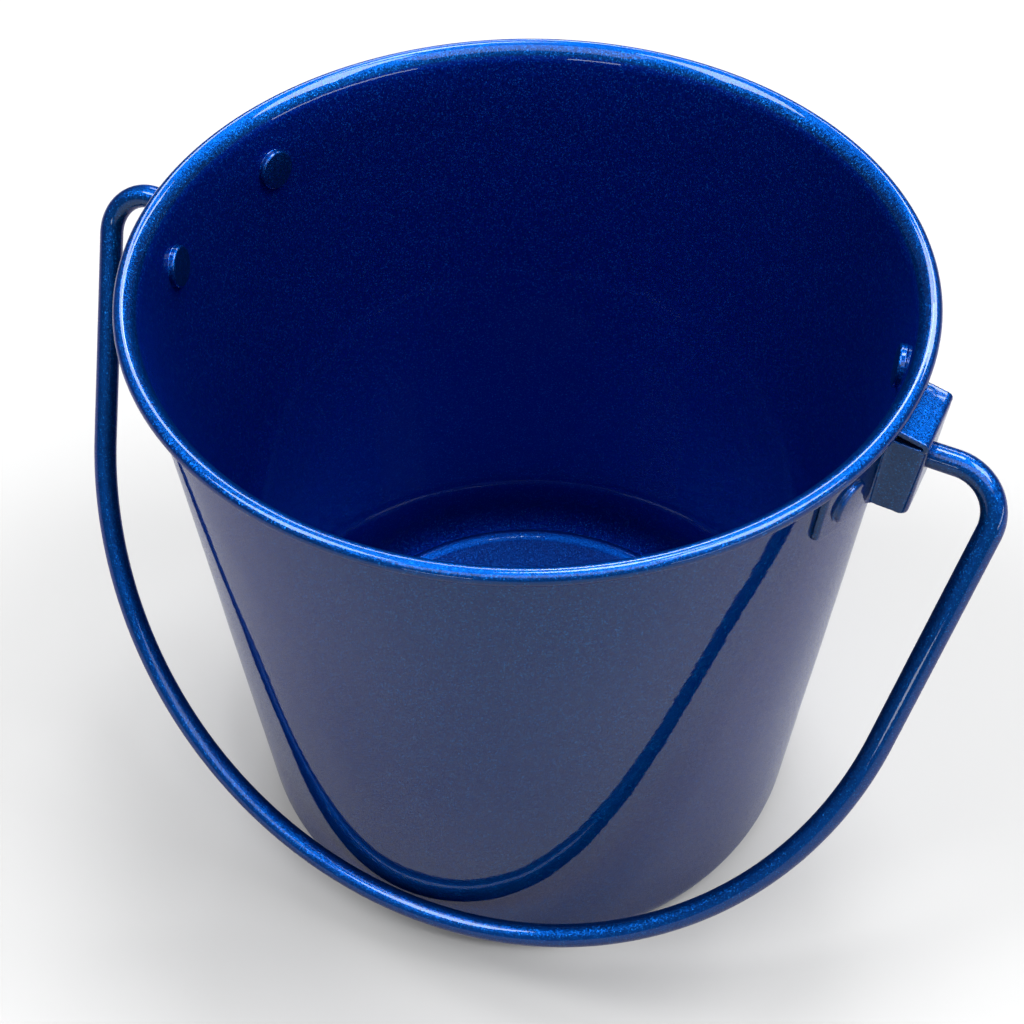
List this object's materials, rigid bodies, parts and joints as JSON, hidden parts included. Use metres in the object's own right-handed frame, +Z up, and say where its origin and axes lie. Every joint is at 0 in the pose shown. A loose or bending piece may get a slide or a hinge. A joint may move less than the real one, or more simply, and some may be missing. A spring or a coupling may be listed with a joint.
{
  "type": "feed bucket",
  "caption": "Small round metal feed pail with a rolled rim, riveted box ears and a wire bail that swings over the rim.",
  "frame": {"origin": "centre of the foot ring's plane, where the pail stands on the ground", "axes": "+Z up out of the mouth, X along the bail's pivot axis with the right ear at +X, -Y towards the side the bail leans on at rest"},
  "size_m": [0.205, 0.16, 0.1556],
  "materials": {
    "shell_paint": "glossy metallic candy blue, clear coated",
    "ear_paint": "glossy metallic candy blue, clear coated",
    "rivet_paint": "glossy metallic candy blue, clear coated",
    "bail_paint": "glossy metallic candy blue, clear coated"
  },
  "bodies": {
    "pail": {"pail_body": "shell_paint", "ear_left": "ear_paint", "ear_right": "ear_paint", "rivet_left_front": "rivet_paint", "rivet_left_back": "rivet_paint", "rivet_right_front": "rivet_paint", "rivet_right_back": "rivet_paint"},
    "bail": {"bail": "bail_paint"}
  },
  "joints": [
    {"name": "bail_swing", "type": "hinge", "parent": "pail", "child": "bail", "pos_m": [0, 0, 0.14], "axis": [-1, 0, 0], "range_deg": [0, 299]}
  ]
}
